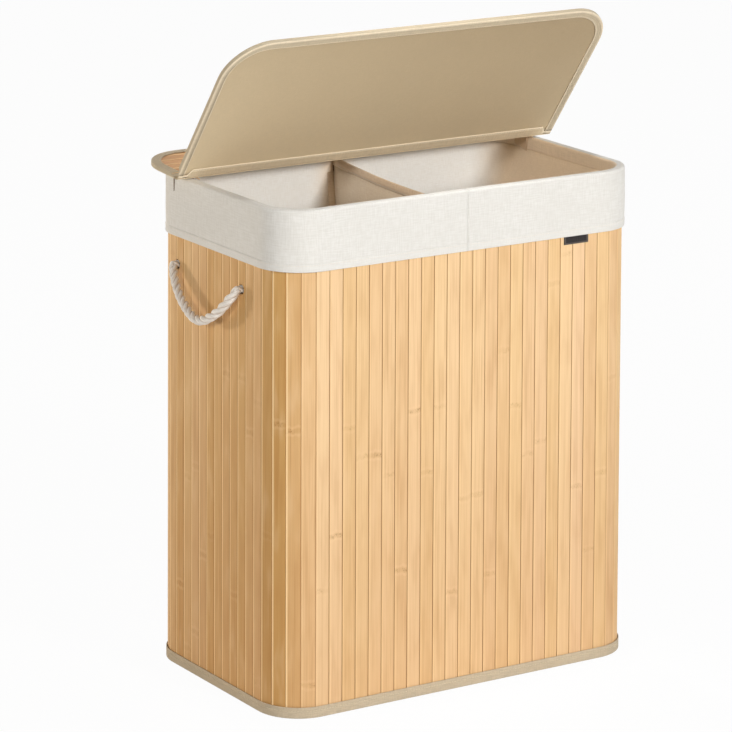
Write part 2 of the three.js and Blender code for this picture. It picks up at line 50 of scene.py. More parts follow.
SPREAD = 10
TOUCH = 0.3
SLATS = 85
WALL_FOOT, WALL_TOP = 1.5, 627.4
CUFF_FOOT = 555
LINER_INSET, KNOT_INSET = 12, 28
LINER_FOOT = 5.8
HOLES = (-60, 94)
HOLE_HEIGHT, HOLE_RADIUS = 519, 6.2
ROPE = 5
HANDLE_AXIS = 264.18
HANDLE_DROP, HANDLE_REACH = 52, 11
FOLD_Y, FOLD_Z = 63.5, 633.2
LID_WIDTH, LID_CORNER = 552, 57
FRONT_LENGTH, REAR_LENGTH = 230, 106
FRONT_OPEN, REAR_OPEN = 52.8, 3.5
TAPE = 0.8

SIDES = (("right", 1), ("left", -1))
STITCH, STITCH_GAP, THREAD_RADIUS = 2.7, 1.1, 0.3
SEAM_PULL, SEAM_REACH = 5, 13  # how far the divider's seam draws the liner in, and along what length
WALL_SLAT_DEPTH, BACKING_INSET = 2.5, 2.9
LID_SLAT_DEPTH, LID_SLAT_GAP, LID_FACE = 2.9, 0.9, 4.3
NO_JOINT = -900  # a height that is on no slat
SLAT_EDGE, SLAT_CROWN = (0.6, 0.8), 0.1  # width and depth of the edge taken off, and the face's crown

STRAIGHT_WIDTH = RIM_WIDTH - 2 * CORNER
STRAIGHT_DEPTH = RIM_DEPTH - 2 * CORNER
ARC = math.pi / 2 * CORNER
OUTLINE = 2 * (STRAIGHT_WIDTH + STRAIGHT_DEPTH) + 4 * ARC
PITCH = OUTLINE / SLATS


# Camera

def add_camera():
    """The photograph's view: 4.75 m away, turned 32.4 degrees to the left and looking down 14.8."""
    aim, away, across, over = Vector((0, 0, 0.315)), 4.752, 0.0364, 0.058
    yaw, pitch, roll = (math.radians(a) for a in (32.38, 14.80, 0.25))
    forward = Vector((math.sin(yaw) * math.cos(pitch), math.cos(yaw) * math.cos(pitch), -math.sin(pitch)))
    side = Vector((math.cos(yaw), -math.sin(yaw), 0))
    above = side.cross(forward)
    right = side * math.cos(roll) + above * math.sin(roll)
    top = above * math.cos(roll) - side * math.sin(roll)
    place = aim - forward * away - side * across + above * over
    data = bpy.data.cameras.new("camera")
    data.sensor_width = 36
    data.lens = 185.8
    data.clip_end = 60
    camera = bpy.data.objects.new("camera", data)
    turned = Matrix((right, top, -forward)).transposed().to_4x4()
    camera.matrix_world = Matrix.Translation(place) @ turned
    bpy.context.scene.collection.objects.link(camera)
    bpy.context.scene.camera = camera


# The wall's outline

def wall_point(distance):
    """Point and outward normal of the wall's outer face, at a distance from the middle of the front."""
    quarter = OUTLINE / 4
    along = distance % OUTLINE
    turn = int(along // quarter) % 4
    t = along - turn * quarter
    if turn % 2:
        t = quarter - t
    sx = 1 if turn < 2 else -1
    sy = -1 if turn in (0, 3) else 1
    arc = t - STRAIGHT_WIDTH / 2
    if arc <= 0:
        return sx * t, sy * RIM_DEPTH / 2, 0, sy
    if arc >= ARC:
        return sx * RIM_WIDTH / 2, sy * (STRAIGHT_DEPTH / 2 - (arc - ARC)), sx, 0
    nx, ny = sx * math.sin(arc / CORNER), sy * math.cos(arc / CORNER)
    return sx * STRAIGHT_WIDTH / 2 + CORNER * nx, sy * STRAIGHT_DEPTH / 2 + CORNER * ny, nx, ny


def spread(points):
    """Spreads points of the upright body towards the floor."""
    points = np.array(points, float)
    share = 1 - points[..., 2] / RIM_HEIGHT
    points[..., 0] *= 1 + SPREAD / RIM_WIDTH * share
    points[..., 1] *= 1 + SPREAD / RIM_DEPTH * share
    return points


def travelled(line):
    """Length along a line of points, at each point."""
    steps = np.linalg.norm(np.diff(np.asarray(line, float), axis=0), axis=1)
    return np.concatenate([[0], np.cumsum(steps)])


def resampled(line, step):
    """The line with points at most a step apart."""
    line = np.asarray(line, float)
    made = [line[0]]
    for a, b in zip(line[:-1], line[1:]):
        count = max(1, math.ceil(np.linalg.norm(b - a) / step))
        made += [a + (b - a) * (i + 1) / count for i in range(count)]
    return np.array(made)


def rounded(line, radius, steps=4):
    """The line with its inner corners rounded."""
    line = [np.asarray(p, float) for p in line]
    made = [line[0]]
    for before, corner, after in zip(line[:-2], line[1:-1], line[2:]):
        one, two = before - corner, after - corner
        reach = min(radius, np.linalg.norm(one) / 2, np.linalg.norm(two) / 2)
        start = corner + one / np.linalg.norm(one) * reach
        end = corner + two / np.linalg.norm(two) * reach
        for i in range(steps + 1):
            t = i / steps
            made.append((1 - t) ** 2 * start + 2 * t * (1 - t) * corner + t * t * end)
    return np.array(made + [line[-1]])


def swept(distances, profile):
    """Points of a profile of (offset, height) pairs carried along the wall's outline, with cloth
    coordinates and the outward vectors. The profile may be a function of the outward normal."""
    grid, coords, outs = [], [], []
    for distance in distances:
        x, y, nx, ny = wall_point(distance)
        line = profile(nx, ny) if callable(profile) else profile
        grid.append([(x + nx * offset, y + ny * offset, height) for offset, height in line])
        coords.append([(distance, length, 0) for length in travelled(line)])
        outs.append((nx, ny, 0))
    return spread(grid), np.array(coords), np.array(outs)


def rumple(point, size, seed):
    """Smooth noise from -1 to 1 at a point, with a size for each axis."""
    scaled = Vector([p / s for p, s in zip(point, size)])
    return noise.noise(scaled + Vector((seed, 0, 3 * seed)))


# Meshes

class Shape:
    """Grids of points collected into one mesh, with vectors for the materials at each face corner."""

    def __init__(self):
        self.points, self.faces, self.vectors, self.count = [], [], {}, 0

    def add(self, grid, coords, tube=False, caps=False, **constants):
        """A grid of points. tube joins its last column to the first, and caps closes its ends."""
        grid, coords = np.asarray(grid, float), np.asarray(coords, float)
        rows, columns = grid.shape[:2]
        i, j = np.meshgrid(np.arange(rows - 1), np.arange(columns - (not tube)), indexing="ij")
        i, j = i.ravel(), j.ravel()
        corners = [(i, j), (i + 1, j), (i + 1, j + 1), (i, j + 1)]
        quads = np.stack([a * columns + b % columns for a, b in corners], axis=1)
        self.faces += (quads + self.count).tolist()
        flat = np.stack([coords[a, b] for a, b in corners], axis=1)
        found = {"cloth": flat.reshape(-1, flat.shape[-1])}
        if caps:
            ends = [np.arange(columns)[::-1], (rows - 1) * columns + np.arange(columns)]
            self.faces += [(end + self.count).tolist() for end in ends]
            ending = [coords[0][:columns][::-1], coords[-1][:columns]]
            found["cloth"] = np.concatenate([found["cloth"], *ending])
        for name, value in constants.items():
            found[name] = np.tile(np.asarray(value, float), (len(found["cloth"]), 1))
        for name, values in found.items():
            if values.shape[1] == 2:
                values = np.concatenate([values, np.zeros((len(values), 1))], axis=1)
            self.vectors.setdefault(name, []).append(values)
        self.points.append(grid.reshape(-1, 3))
        self.count += rows * columns
        return self

    def piece(self, name, look, body, replaces=(), place=None, smooth=True, thickness=0, offset=-1):
        """The mesh as an object in metres, riding on a body."""
        points = np.concatenate(self.points)
        if place is not None:
            points = points @ np.array(place.to_3x3()).T + np.array(place.translation)
        mesh = bpy.data.meshes.new(name)
        mesh.from_pydata((points / 1000).tolist(), [], self.faces)
        for attribute, values in self.vectors.items():
            made = mesh.attributes.new(attribute, "FLOAT_VECTOR", "CORNER")
            made.data.foreach_set("vector", np.concatenate(values).astype(np.float32).ravel())
        mesh.polygons.foreach_set("use_smooth", [smooth] * len(mesh.polygons))
        mesh.materials.append(look)
        made = bpy.data.objects.new(name, mesh)
        bpy.context.scene.collection.objects.link(made)
        if thickness:
            solid = made.modifiers.new("thickness", "SOLIDIFY")
            solid.thickness = thickness / 1000
            solid.offset = offset
        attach(made, body)
        if replaces:
            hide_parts(*([replaces] if isinstance(replaces, str) else replaces))
        slot = look.get("slot")
        return made if slot else made


def mirrored(grid):
    """The grid on the other side of the hamper, with its faces turned the same way out."""
    return (np.asarray(grid) * (-1, 1, 1))[::-1]


def catmull(points, steps):
    """A centripetal Catmull-Rom curve through the points."""
    points = [np.asarray(p, float) for p in points]
    ends = [2 * points[0] - points[1], *points, 2 * points[-1] - points[-2]]
    made = [points[0]]
    for a, b, c, d in zip(ends, ends[1:], ends[2:], ends[3:]):
        t1, t2, t3 = (max(np.linalg.norm(q - p), 1e-6) ** 0.5 for p, q in ((a, b), (b, c), (c, d)))
        one = ((b - a) / t1 - (c - a) / (t1 + t2) + (c - b) / t2) * t2
        two = ((c - b) / t2 - (d - b) / (t2 + t3) + (d - c) / t3) * t2
        for i in range(1, steps + 1):
            t = i / steps
            made.append(
                (2 * t**3 - 3 * t**2 + 1) * b
                + (t**3 - 2 * t**2 + t) * one
                + (3 * t**2 - 2 * t**3) * c
                + (t**3 - t**2) * two
            )
    return np.array(made)


def frames_along(line):
    """Two unit vectors across a line at each of its points, turning as little as possible."""
    ahead = np.gradient(line, axis=0)
    ahead /= np.linalg.norm(ahead, axis=1, keepdims=True)
    across = np.cross(ahead[0], (0.3, 0.2, 1))
    found = []
    for t in ahead:
        across = across - t * (across @ t)
        across = across / np.linalg.norm(across)
        found.append((across, np.cross(t, across)))
    return found


# Materials

def linear(r, g, b):
    """A colour given in 0 to 255, as the shader takes it."""
    shares = (c / 255 for c in (r, g, b))
    return (*(s / 12.92 if s < 0.04045 else ((s + 0.055) / 1.055) ** 2.4 for s in shares), 1)


class Nodes:
    """Nodes added to a tree, each linked to what it reads."""

    def __init__(self, tree):
        self.tree = tree

    def node(self, kind, *inputs, out=0, **settings):
        made = self.tree.nodes.new("ShaderNode" + kind)
        for name, value in settings.items():
            setattr(made, name, value)
        for socket, value in zip([s for s in made.inputs if s.enabled], inputs):
            self.feed(socket, value)
        return [s for s in made.outputs if s.enabled][out]

    def feed(self, socket, value):
        if isinstance(value, bpy.types.NodeSocket):
            self.tree.links.new(value, socket)
        elif value is not None:
            socket.default_value = value

    def math(self, operation, *values):
        return self.node("Math", *values, operation=operation)

    def times(self, one, two):
        return self.math("MULTIPLY", one, two)

    def apart(self, one, two):
        return self.math("ABSOLUTE", self.math("SUBTRACT", one, two))


class Look(Nodes):
    """A node material, built step by step round one Principled shader."""

    def __init__(self, name, slot, **sockets):
        self.material = bpy.data.materials.new(name)
        self.material.use_nodes = True
        self.material["slot"] = slot
        super().__init__(self.material.node_tree)
        self.shader = next(n for n in self.tree.nodes if n.type == "BSDF_PRINCIPLED")
        for socket, value in sockets.items():
            self.shader.inputs[socket.replace("_", " ")].default_value = value

    def span(self, value, low, high, to_low=0.0, to_high=1.0, kind="SMOOTHSTEP"):
        """The value carried from one range to another, held at its ends."""
        return self.node("MapRange", value, low, high, to_low, to_high, interpolation_type=kind)

    def mix(self, share, one, two, blend="MIX"):
        return self.node("Mix", share, one, two, data_type="RGBA", blend_type=blend)

    def layered(self, colour, *layers):
        """The colour with others laid over it, each given with its share and the most of it."""
        for top, share, most in layers:
            colour = self.mix(self.times(share, most), colour, top)
        return colour

    def parts(self, name):
        """The three numbers of a vector that the mesh carries."""
        made = self.node("SeparateXYZ", self.node("Attribute", out=1, attribute_name=name)).node
        return made.outputs[:3]

    def noise(self, vector, scale=1.0, detail=2.0, roughness=0.5):
        made = self.node("TexNoise", vector).node
        for socket, value in (("Scale", scale), ("Detail", detail), ("Roughness", roughness)):
            made.inputs[socket].default_value = value
        return made.outputs[0]

    def stretched(self, u, v, size_u, size_v, seed=0.0, detail=2.0):
        """Noise with its own size along each of two coordinates, in millimetres."""
        u, v = self.math("DIVIDE", u, size_u), self.math("DIVIDE", v, size_v)
        return self.noise(self.node("CombineXYZ", u, v, seed), detail=detail)

    def finish(self, colour, roughness, height, depth, strength):
        """Links the colour, the roughness and a bump whose height is in millimetres."""
        bump = self.tree.nodes.new("ShaderNodeBump")
        bump.inputs["Strength"].default_value = strength
        bump.inputs["Distance"].default_value = depth / 1000
        self.feed(bump.inputs["Height"], height)
        sockets = {"Base Color": colour, "Roughness": roughness, "Normal": bump.outputs[0]}
        for socket, value in sockets.items():
            self.feed(self.shader.inputs[socket], value)
        return self.material


def bamboo(name, pale, deep, dark):
    """Split bamboo: long fibres, a colour for each slat, and speckled joints across it. Painted highlights
    and painted shade lie on the slats' edges, with painted shade in the gaps and towards the foot.
    """
    look = Look(name, "bamboo", Specular_IOR_Level=0.14)
    span, times = look.span, look.times
    across, along, edge = look.parts("cloth")
    tint, seed, streaky = look.parts("slat")
    *joints, strength = look.parts("joints")
    u = look.math("MULTIPLY_ADD", seed, 37.0, across)
    v = look.math("MULTIPLY_ADD", seed, 211.0, along)
    fibres = look.stretched(u, v, 0.8, 120, 0, 3)
    strands = look.stretched(u, v, 3.0, 320, 4, 2)
    clouds = look.stretched(u, v, 15, 80, 8, 2)
    specks = look.stretched(u, v, 1.1, 2.6, 6, 1)
    patches = look.stretched(u, v, 8, 30, 11, 1)
    uneven = look.math("SUBTRACT", along, 4.5)
    place = look.math("MULTIPLY_ADD", look.stretched(u, v, 7, 30, 2), 9.0, uneven)
    away = look.math("MINIMUM", *(look.apart(place, joint) for joint in joints))
    near = times(span(away, 4.5, 0.8), strength)
    halo = times(span(look.apart(away, 5.0), 3.0, 0.5), strength)
    speckled = times(times(near, span(specks, 0.5, 0.62)), span(patches, 0.38, 0.6))
    pale, deep, dark = linear(*pale), linear(*deep), linear(*dark)
    hue = look.mix(look.math("FRACT", times(seed, 5.3)), (1, 1, 0.95, 1), (1, 0.99, 1.03, 1))
    colour = look.layered(
        look.mix(1.0, look.mix(tint, pale, deep), hue, "MULTIPLY"),
        (dark, span(fibres, 0.45, 0.72), span(streaky, 0, 1, 0.12, 0.3, "LINEAR")),
        (dark, span(strands, 0.48, 0.72), span(tint, 0.4, 1.0, 0.16, 0.34, "LINEAR")),
        (pale, span(clouds, 0.5, 0.25), 0.3),
        (dark, span(clouds, 0.45, 0.75), 0.16),
        # darker towards the wall's foot, and towards one end of each lid slat: painted shade
        (dark, span(along, 470, 20), 0.2),
        (pale, halo, 0.22),
        (dark, near, 0.12),
        (tuple(c * 0.72 for c in dark), speckled, 0.6),
        # pale edges, stronger on the deeper-coloured slats, are painted highlight; the darker edges and the
        # gap faces are painted shade
        (linear(255, 222, 168), span(edge, 0.1, 0.8), span(tint, 0.4, 0.46, 0.25, 0.78)),
        (tuple(c * 0.85 for c in dark), span(edge, -0.1, -0.9), 0.18),
        (dark, span(look.math("ABSOLUTE", edge), 1.1, 1.9), 0.8),
    )
    bumps = look.math("MULTIPLY_ADD", fibres, 0.5, times(near, 0.4))
    return look.finish(colour, span(fibres, 0.3, 0.8, 0.5, 0.64), bumps, 0.16, 0.6)


def woven(
    name, slot, colour, thread, slub, relief, ribs=0.0, roughness=0.92, shade=None, other=None
):
    """Plain-woven cloth: threads both ways, thicker ones here and there, and uneven colour. The other
    colour shows where the third cloth coordinate is 1."""
    look = Look(name, slot, Sheen_Weight=0.15, Sheen_Roughness=0.5, Specular_IOR_Level=0.12)
    u, v, turned = look.parts("cloth")
    warp, weft = (look.math("SINE", look.times(value, math.pi / thread)) for value in (u, v))
    weave = look.math("MULTIPLY_ADD", look.times(warp, weft), 0.5, 0.5)
    along = look.span(look.stretched(u, v, 17 * thread, 1.6 * thread, 1, 2), 0.34, 0.66)
    up = look.span(look.stretched(u, v, 1.6 * thread, 17 * thread, 5, 2), 0.34, 0.66)
    worn = look.stretched(u, v, 48, 48, 9, 3)
    dark = linear(*(c * (1 - slub) for c in (shade or colour)))
    light = linear(*(min(255, c * (1 + slub * 0.6)) for c in colour))
    threads = look.math("MULTIPLY_ADD", along, 0.5, look.times(up, 0.5))
    tone = look.layered(
        look.mix(threads, dark, light),
        (dark, look.span(worn, 0.4, 0.7), 0.3),
        (dark, weave, 0.15),
    )
    if other:
        share = [o / c for o, c in zip(linear(*other), linear(*colour))]
        tone = look.mix(turned, tone, look.mix(1.0, tone, share, "MULTIPLY"))
    bumps = look.math("MULTIPLY_ADD", weave, 0.6, threads)
    if ribs:
        rib = look.math("SINE", look.times(v, 2 * math.pi / ribs))
        bumps = look.math("MULTIPLY_ADD", rib, 0.4, bumps)
    rough = look.span(worn, 0.3, 0.7, roughness - 0.05, roughness + 0.04)
    return look.finish(tone, rough, bumps, relief, 0.8)


def rope_look():
    look = Look("twisted rope", "rope", Sheen_Weight=0.35, Sheen_Roughness=0.5, Specular_IOR_Level=0.2)
    u, v, groove = look.parts("cloth")
    yarns = look.stretched(look.math("MULTIPLY_ADD", v, -0.35, u), v, 0.5, 14, 0, 3)
    colour = look.layered(
        look.mix(look.span(yarns, 0.3, 0.6), linear(240, 230, 217), linear(255, 250, 243)),
        (linear(228, 212, 194), look.span(look.stretched(u, v, 9, 16, 4, 2), 0.45, 0.75), 0.25),
        # darker between the strands: painted shade
        (linear(172, 142, 118), look.span(groove, 0.55, 1.0), 0.5),
    )
    return look.finish(colour, look.span(yarns, 0.3, 0.7, 0.85, 0.97), yarns, 0.5, 0.8)


def plain_look(name, slot, one, two, size, relief, rough, **sockets):
    """Fibreboard or drawn wire: fine noise in the piece's own coordinates, in metres."""
    look = Look(name, slot, **sockets)
    place = look.node("TexCoord", out=3)
    grain = look.noise(place, 1000 / size, 5, 0.6)
    colour = look.layered(
        look.mix(look.span(grain, 0.35, 0.65), linear(*one), linear(*two)),
        (linear(*one), look.span(look.noise(place, 12, 3), 0.4, 0.7), 0.3),
    )
    return look.finish(colour, look.span(grain, 0.3, 0.7, rough - 0.08, rough + 0.08), grain, relief, 0.6)


WALL_BAMBOO = bamboo("wall bamboo", (243, 208, 162), (210, 164, 102), (174, 116, 58))
LID_BAMBOO = bamboo("lid bamboo", (230, 182, 126), (212, 160, 104), (150, 96, 52))
BACKING = woven("slat backing", "khaki_cloth", (170, 126, 84), 0.7, 0.06, 0.2)
# the cuff linen's other, tan colour is painted shade
LINEN = woven(
    "cuff linen", "linen", (232, 230, 225), 0.95, 0.018, 0.12, shade=(226, 223, 216), other=(246, 223, 195)
)
HEM_LINEN = woven("hem linen", "linen", (233, 231, 226), 0.8, 0.015, 0.12, shade=(228, 225, 218))
# the liner cotton's other, tan colour is painted shade
COTTON = woven(
    "liner cotton", "cotton", (250, 249, 245), 0.6, 0.02, 0.15, shade=(247, 244, 237), other=(250, 227, 198)
)
# the divider's cloth and hem are warmer than the liner's cotton: painted shade
DIVIDER_COTTON = woven("divider cotton", "cotton", (253, 236, 214), 0.6, 0.03, 0.18, shade=(248, 228, 203))
DIVIDER_HEM = woven("divider hem cotton", "cotton", (252, 228, 201), 0.6, 0.04, 0.2, shade=(247, 220, 190))
# the lid lining's other, darker colour is painted shade
LID_CLOTH = woven(
    "lid lining", "khaki_cloth", (226, 205, 168), 0.55, 0.02, 0.1, roughness=0.8, other=(181, 160, 127)
)
# the binding's other, pale colour is painted highlight
BINDING = woven(
    "lid binding", "taupe_tape", (204, 188, 160), 0.8, 0.04, 0.25, ribs=1.6, other=(240, 224, 196)
)
# the fold tape's other, pale colour is painted highlight
FOLD_TAPE = woven(
    "fold tape", "taupe_tape", (230, 210, 176), 0.8, 0.05, 0.25, ribs=1.6, other=(250, 232, 202)
)
BASE_TAPE = woven("base tape", "taupe_tape", (202, 186, 160), 0.8, 0.05, 0.25, ribs=2.0)
BASE_CLOTH = woven("base cloth", "khaki_cloth", (170, 154, 128), 0.8, 0.05, 0.2)
STRAP = woven("strap cloth", "khaki_cloth", (222, 192, 158), 0.7, 0.04, 0.2)
TAG = woven("tag ribbon", "tag", (54, 50, 50), 0.5, 0.1, 0.2, ribs=0.9, roughness=0.75, other=(100, 95, 90))
THREAD = woven("thread", "linen", (238, 232, 220), 0.4, 0.05, 0.1)
TAPE_THREAD = woven("tape thread", "taupe_tape", (222, 208, 178), 0.4, 0.05, 0.1)
# a dark brown line down the cuff beside each strap: painted shadow of a slit
SLIT_SHADOW_THREAD = woven("slit shadow thread", "khaki_cloth", (120, 84, 58), 0.4, 0.08, 0.15)
ROPE_LOOK = rope_look()
BOARD = plain_look("fibreboard", "board", (150, 112, 74), (186, 148, 104), 1.6, 0.2, 0.82)
WIRE = plain_look("drawn wire", "wire", (150, 150, 150), (178, 178, 180), 0.8, 0.02, 0.38, Metallic=1.0)


# Stitches

def stitched(name, line, normals, look, body):
    """A row of stitches along a line of points on a surface, each one dipping in at its ends."""
    line, normals = np.asarray(line, float), np.asarray(normals, float)
    reach = travelled(line)
    shape = Shape()
    chance = random.Random(len(name))
    shares = (-0.5, -0.3, 0, 0.3, 0.5)
    ring = [math.tau * k / 6 for k in range(6)]

    def at(distance, values):
        return np.array([np.interp(distance, reach, values[:, k]) for k in range(3)])

    for i in range(int(reach[-1] // (STITCH + STITCH_GAP))):
        middle = (i + 0.5) * (STITCH + STITCH_GAP)
        ahead = at(middle + 0.4, line) - at(middle - 0.4, line)
        ahead /= np.linalg.norm(ahead)
        up = at(middle, normals)
        up = up / np.linalg.norm(up)
        side = np.cross(ahead, up)
        ahead = ahead + side * chance.uniform(-0.05, 0.05)
        rows = []
        for share in shares:
            bulge = math.sqrt(max(0, 1 - (1.9 * share) ** 2)) + 0.25
            centre = at(middle, line) + ahead * share * STITCH + up * THREAD_RADIUS * (bulge - 0.75)
            wide = THREAD_RADIUS * (0.55 + 0.45 * bulge)
            rows.append([centre + (side * math.cos(a) + up * math.sin(a) * 0.7) * wide for a in ring])
        coords = [[(k * 0.3, share * STITCH + 3.7 * i) for k in range(7)] for share in shares]
        shape.add(rows, coords, tube=True, caps=True)
    shape.piece(name, look, body)


def wall_stitches(name, height, offset, look, start, end):
    """Stitches round the wall at a height, an offset out from its face."""
    grid, _, outs = swept(np.arange(start, end + 0.1, 4), [(offset, height)] * 2)
    stitched(name, grid[:, 0], outs, look, "body")


# Rope handles (the cords)

def ball_ended(line, radii):
    """The line carried on past its ends by half a ball, with its radii and a narrowing to each point."""
    shares = (0.2, 0.45, 0.68, 0.86, 0.96, 0.995)
    thin = [math.sqrt(1 - t * t) for t in shares]
    ends = []
    for first, second, radius in ((line[0], line[1], radii[0]), (line[-1], line[-2], radii[-1])):
        outwards = (first - second) / np.linalg.norm(first - second)
        ends.append([first + outwards * radius * t for t in shares])
    made = np.array([*ends[0][::-1], *line, *ends[1]])
    radii = np.array([radii[0]] * len(shares) + list(radii) + [radii[-1]] * len(shares))
    return made, radii * np.array([*thin[::-1], *[1] * len(line), *thin])


def rope_shape(line, radius, lay, phase=0.0):
    """A three-strand rope along a line of closely spaced points, in millimetres. Radius and lay are
    given at its start and end, and its ends are balls round the line's own ends."""
    sides = 42
    reach = travelled(line)
    ahead = np.minimum(reach, reach[-1] - reach)
    radii = np.minimum(np.interp(reach, (0, reach[-1]), radius), ROPE + ahead * 0.08)
    line, radii = ball_ended(line, radii)
    reach = travelled(line)
    lays = np.interp(reach, (reach[-1] * 0.4, reach[-1] * 0.7), lay)
    turns = phase + np.concatenate([[0], np.cumsum(math.tau * np.diff(reach) / lays[1:])])
    rows, coords = [], []
    for point, (across, up), size, turn, distance in zip(line, frames_along(line), radii, turns, reach):
        strand, middle = 0.56 * size, 0.48 * size
        row, marks = [], []
        for k in range(sides + 1):
            angle = math.tau * k / sides
            off = (angle + math.pi / 3) % (math.tau / 3) - math.pi / 3
            out = middle * math.cos(off) + math.sqrt(max(0, strand**2 - (middle * math.sin(off)) ** 2))
            if k < sides:
                bent = angle + turn
                row.append(point + (across * math.cos(bent) + up * math.sin(bent)) * out)
            # the third coordinate is how deep a point lies between the strands, which the rope's look
            # darkens as painted shade
            marks.append((angle * ROPE, distance, 1 - (out / size - 0.62) / 0.42))
        rows.append(row)
        coords.append(marks)
    return Shape().add(rows, coords, tube=True, caps=True)


def loop_route(side):
    """The route of the free loop, through the same points as in the CAD source."""
    shares = [(0, 1, 0), (0.36, 0.9, 0.21), (0.82, 0.54, 0.69), (1, 0, 1)]
    half = (HOLES[1] - HOLES[0]) / 2
    route = [
        (side * (HANDLE_AXIS + out * HANDLE_REACH), along * half, HOLE_HEIGHT - down * HANDLE_DROP)
        for out, along, down in shares
    ]
    route += [(x, -y, z) for x, y, z in route[-2::-1]]
    middle = (HOLES[0] + HOLES[1]) / 2
    return resampled(catmull([(x, y + middle, z) for x, y, z in route], 24), 1.2)


def knot_route(side, y):
    """Out of the hole inwards, round itself twice and down into a short tail."""
    start, wall = HANDLE_AXIS, 253.7
    line = [(start, 0, 0), (wall, 0, 0), (wall - 10, 0.5, 0), (wall - 17, 3.5, 0)]
    turns, rise = 13, 6.6
    for i in range(turns + 1):
        angle = math.pi / 2 - math.tau * 1.5 * i / turns
        line.append((wall - 15 + 12.5 * i / turns, rise * math.sin(angle), rise * math.cos(angle)))
    line += [(wall - 6, -7, -8), (wall - 8.5, -3.5, -15), (wall - 9, -1, -22)]
    return resampled(catmull([(side * x, y + dy, HOLE_HEIGHT + dz) for x, dy, dz in line], 6), 1.2)


def add_handles():
    for name, side in (("left", -1), ("right", 1)):
        for place, y in (("front", HOLES[0]), ("back", HOLES[1])):
            shape = rope_shape(knot_route(side, y), (ROPE, 3.6), (28, 24))
            node = f"handle_knot_{name}_{place}"
            shape.piece(f"rope_knot_{name}_{place}", ROPE_LOOK, "body", node)
        route = loop_route(side)
        loop = rope_shape(route, (5.3, 6.1), (30, 48), 0.6)
        loop = loop.piece(f"rope_loop_{name}", ROPE_LOOK, f"handle_{name}", f"handle_loop_{name}")
        travelled(route)[-1] / 1000


# Slatted wall

JOINTS = {  # slat number: height of the joint that shows on it, and how plainly
    -14: (368, 0.7), -13: (361, 1), -12: (42, 0.6), -11: (159, 0.4), -10: (226, 0.9), -9: (357, 0.4),
    -8: (319, 0.4), -7: (318, 0.9), -6: (291, 0.3), -5: (167, 0.8), -4: (365, 0.9), -3: (285, 0.6),
    -2: (365, 0.4), -1: (126, 0.6), 0: (244, 0.6), 1: (246, 0.5), 2: (140, 0.5), 3: (423, 0.4),
    4: (351, 0.5), 5: (286, 0.4), 6: (300, 0.4), 7: (498, 0.6), 8: (533, 0.5), 9: (233, 0.6),
    11: (245, 0.6), 12: (365, 0.4), -19: (131, 0.4), -18: (410, 0.4),
}
# slat number: least depth of its colour, and how much more it may have, on the left front corner,
# where the deeper colour is painted shade
CORNER_SHADE_TINTS = {-12: (0.35, 0.1), -13: (0.7, 0.1), -14: (0.9, 0.1), -15: (0.9, 0.1)}


def slat_section(width, depth):
    """Section of a slat from its back over its face to its back, with its edges taken off: place, depth
    and edge. The edge is 1 on the side with a painted highlight, -1 on the side with painted shade, and
    2 or -2 in the gaps, which are painted dark as shade."""
    wide, deep = SLAT_EDGE
    shares = ((wide + 1.4, 0.8), (wide + 2.4, 0), (width / 2, 0), (width - wide - 1.0, 0))
    face = [(s, -SLAT_CROWN * (2 * s / width - 1) ** 2, e) for s, e in shares]
    start = [(0, -depth, 2), (0, -deep, 2), (wide * 0.3, -deep * 0.5, 1), (wide, -SLAT_CROWN, 1)]
    return start + face + [(width - s, d, -0.7 * e if d == -SLAT_CROWN else -e) for s, d, e in start[::-1]]


def slat_vectors(i, chance):
    """Colour, seed and streakiness of a slat, and the places of its joints."""
    height, strength = JOINTS.get(i, (chance.uniform(20, 600), chance.uniform(0.2, 0.8)))
    other = chance.choice([NO_JOINT, (height + chance.uniform(210, 330)) % 620])
    other = NO_JOINT if i in JOINTS else other
    # the deeper colour on the corner and on the sides and back is painted shade
    start, reach = CORNER_SHADE_TINTS.get(i, (0, 0.4) if -12 < i < 16 else (0.46, 0.44))
    tint = start + reach * chance.random()
    return {"slat": (tint, chance.uniform(0, 40), chance.random()), "joints": (height, other, strength)}


def wall_slat(shape, i, chance):
    a, b = (np.array(wall_point((i + k - 0.5) * PITCH)[:2]) for k in (0, 1))
    width = np.linalg.norm(b - a)
    along = (b - a) / width
    out = np.array((along[1], -along[0]))
    heights = np.linspace(WALL_FOOT, WALL_TOP, 13)
    edges = [0.24 + 0.06 * noise.noise(Vector((i * 7.3, z / 90, 0))) for z in heights]
    rows, coords = [], []
    for z, gap in zip(heights, edges):
        section = slat_section(width - 2 * gap, WALL_SLAT_DEPTH)
        rows.append([(*(a + along * (gap + s) + out * d), z) for s, d, _ in section])
        coords.append([(s + d, z, e) for s, d, e in section] + [(0, z, 2)])
    shape.add(spread(rows), coords, tube=True, caps=True, **slat_vectors(i, chance))


def cut_holes(piece, side):
    """Cuts the rope's holes through a piece and leaves no modifier or rod behind."""
    for y in HOLES:
        bpy.ops.mesh.primitive_cylinder_add(vertices=28, radius=HOLE_RADIUS / 1000, depth=0.05)
        rod = bpy.context.object
        rod.rotation_euler = (0, math.pi / 2, 0)
        rod.location = (side * RIM_WIDTH / 2000, y / 1000, HOLE_HEIGHT / 1000)
        cut = piece.modifiers.new("hole", "BOOLEAN")
        cut.operation, cut.object, cut.solver = "DIFFERENCE", rod, "EXACT"
        bpy.context.view_layer.update()
        graph = bpy.context.evaluated_depsgraph_get()
        mesh = bpy.data.meshes.new_from_object(piece.evaluated_get(graph), depsgraph=graph)
        piece.modifiers.clear()
        piece.data = mesh
        bpy.data.objects.remove(rod)


